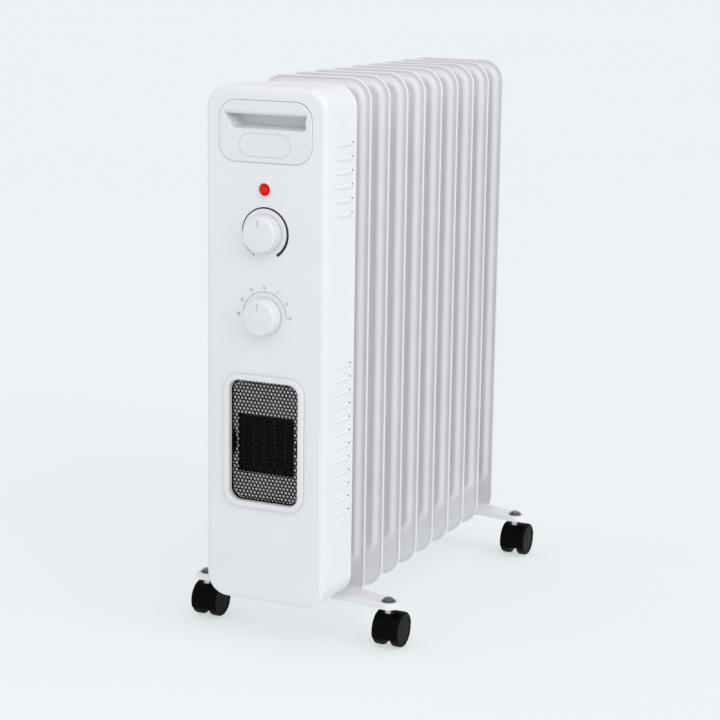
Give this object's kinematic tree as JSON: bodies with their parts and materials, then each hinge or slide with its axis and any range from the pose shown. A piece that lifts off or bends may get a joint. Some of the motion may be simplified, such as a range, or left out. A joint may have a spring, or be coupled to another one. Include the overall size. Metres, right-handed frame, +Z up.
{
  "type": "oil filled radiator heater",
  "caption": "Upright white oil filled column heater with a control housing, grip pocket, control knobs, pilot lamp and meshed fan outlet, on swept feet with black castors.",
  "frame": {"origin": "on the floor below the centre of the heater's bounding box", "axes": "+Z up, -Y out of the front face with the controls, X across the heater"},
  "size_m": [0.2708, 0.556, 0.6475],
  "materials": {
    "housing_paint": "satin powder coat",
    "white_plastic": "satin moulded plastic",
    "fin_paint": "satin powder coat",
    "foot_paint": "satin powder coat",
    "red_lens": "translucent red",
    "dark_mesh": "satin black",
    "black_plastic": "matte",
    "phenolic": "matte moulded resin",
    "heater_block": "dull fin stack",
    "zinc_steel": "zinc plated",
    "element_sheath": "oxidised sheath",
    "castor_black": "satin moulded plastic",
    "wheel_black": "satin moulded plastic"
  },
  "bodies": {
    "radiator": {"front_cover": "housing_paint", "back_plate": "housing_paint", "cover_screws": "zinc_steel", "grip_insert": "white_plastic", "badge": "white_plastic", "pilot_lens": "red_lens", "pilot_holder": "white_plastic", "thermostat_body": "phenolic", "selector_body": "phenolic", "outlet_bezel": "white_plastic", "outlet_mesh": "dark_mesh", "outlet_duct": "black_plastic", "ptc_element": "heater_block", "fan_motor": "zinc_steel", "blower_scroll": "black_plastic", "tip_switch": "black_plastic", "thermal_cutout": "zinc_steel", "terminal_block": "phenolic", "heating_element": "element_sheath", "element_flange": "zinc_steel", "cord_gland": "black_plastic", "fin_1": "fin_paint", "fin_2": "fin_paint", "fin_3": "fin_paint", "fin_4": "fin_paint", "fin_5": "fin_paint", "fin_6": "fin_paint", "fin_7": "fin_paint", "fin_8": "fin_paint", "fin_9": "fin_paint", "collector_necks": "fin_paint", "filler_plug": "zinc_steel", "front_foot": "foot_paint", "rear_foot": "foot_paint", "foot_clamps": "zinc_steel", "castor_stems": "zinc_steel", "castor_nuts": "zinc_steel"},
    "thermostat_dial": {"thermostat_knob": "white_plastic", "thermostat_spindle": "zinc_steel"},
    "selector_dial": {"selector_knob": "white_plastic", "selector_spindle": "zinc_steel"},
    "blower": {"blower_wheel": "black_plastic", "motor_shaft": "zinc_steel"},
    "pendulum": {"tip_pendulum": "zinc_steel"},
    "castor_front_right": {"castor_hood_front_right": "castor_black", "castor_axle_front_right": "zinc_steel"},
    "wheel_front_right_right_roll": {"wheel_front_right_right": "wheel_black"},
    "wheel_front_right_left_roll": {"wheel_front_right_left": "wheel_black"},
    "castor_front_left": {"castor_hood_front_left": "castor_black", "castor_axle_front_left": "zinc_steel"},
    "wheel_front_left_right_roll": {"wheel_front_left_right": "wheel_black"},
    "wheel_front_left_left_roll": {"wheel_front_left_left": "wheel_black"},
    "castor_rear_right": {"castor_hood_rear_right": "castor_black", "castor_axle_rear_right": "zinc_steel"},
    "wheel_rear_right_right_roll": {"wheel_rear_right_right": "wheel_black"},
    "wheel_rear_right_left_roll": {"wheel_rear_right_left": "wheel_black"},
    "castor_rear_left": {"castor_hood_rear_left": "castor_black", "castor_axle_rear_left": "zinc_steel"},
    "wheel_rear_left_right_roll": {"wheel_rear_left_right": "wheel_black"},
    "wheel_rear_left_left_roll": {"wheel_rear_left_left": "wheel_black"}
  },
  "joints": [
    {"name": "thermostat_turn", "type": "hinge", "parent": "radiator", "child": "thermostat_dial", "pos_m": [0, -0.26, 0.4825], "axis": [0, 1, 0], "range_deg": [-150, 150]},
    {"name": "selector_turn", "type": "hinge", "parent": "radiator", "child": "selector_dial", "pos_m": [0, -0.26, 0.3905], "axis": [0, 1, 0], "range_deg": [-90, 90]},
    {"name": "blower_spin", "type": "hinge", "parent": "radiator", "child": "blower", "pos_m": [-0.004, -0.2124, 0.2465], "axis": [1, 0, 0], "continuous": true},
    {"name": "pendulum_swing", "type": "hinge", "parent": "radiator", "child": "pendulum", "pos_m": [-0.046, -0.216, 0.1225], "axis": [1, 0, 0], "range_deg": [-12, 12]},
    {"name": "swivel_front_right", "type": "hinge", "parent": "radiator", "child": "castor_front_right", "pos_m": [0.119, -0.17775, 0.045], "axis": [0, 0, 1], "continuous": true},
    {"name": "roll_front_right_right", "type": "hinge", "parent": "castor_front_right", "child": "wheel_front_right_right_roll", "pos_m": [0.119, -0.16875, 0.02], "axis": [1, 0, 0], "continuous": true},
    {"name": "roll_front_right_left", "type": "hinge", "parent": "castor_front_right", "child": "wheel_front_right_left_roll", "pos_m": [0.119, -0.16875, 0.02], "axis": [1, 0, 0], "continuous": true},
    {"name": "swivel_front_left", "type": "hinge", "parent": "radiator", "child": "castor_front_left", "pos_m": [-0.119, -0.17775, 0.045], "axis": [0, 0, 1], "continuous": true},
    {"name": "roll_front_left_right", "type": "hinge", "parent": "castor_front_left", "child": "wheel_front_left_right_roll", "pos_m": [-0.119, -0.16875, 0.02], "axis": [1, 0, 0], "continuous": true},
    {"name": "roll_front_left_left", "type": "hinge", "parent": "castor_front_left", "child": "wheel_front_left_left_roll", "pos_m": [-0.119, -0.16875, 0.02], "axis": [1, 0, 0], "continuous": true},
    {"name": "swivel_rear_right", "type": "hinge", "parent": "radiator", "child": "castor_rear_right", "pos_m": [0.119, 0.22625, 0.045], "axis": [0, 0, 1], "continuous": true},
    {"name": "roll_rear_right_right", "type": "hinge", "parent": "castor_rear_right", "child": "wheel_rear_right_right_roll", "pos_m": [0.119, 0.23525, 0.02], "axis": [1, 0, 0], "continuous": true},
    {"name": "roll_rear_right_left", "type": "hinge", "parent": "castor_rear_right", "child": "wheel_rear_right_left_roll", "pos_m": [0.119, 0.23525, 0.02], "axis": [1, 0, 0], "continuous": true},
    {"name": "swivel_rear_left", "type": "hinge", "parent": "radiator", "child": "castor_rear_left", "pos_m": [-0.119, 0.22625, 0.045], "axis": [0, 0, 1], "continuous": true},
    {"name": "roll_rear_left_right", "type": "hinge", "parent": "castor_rear_left", "child": "wheel_rear_left_right_roll", "pos_m": [-0.119, 0.23525, 0.02], "axis": [1, 0, 0], "continuous": true},
    {"name": "roll_rear_left_left", "type": "hinge", "parent": "castor_rear_left", "child": "wheel_rear_left_left_roll", "pos_m": [-0.119, 0.23525, 0.02], "axis": [1, 0, 0], "continuous": true}
  ]
}
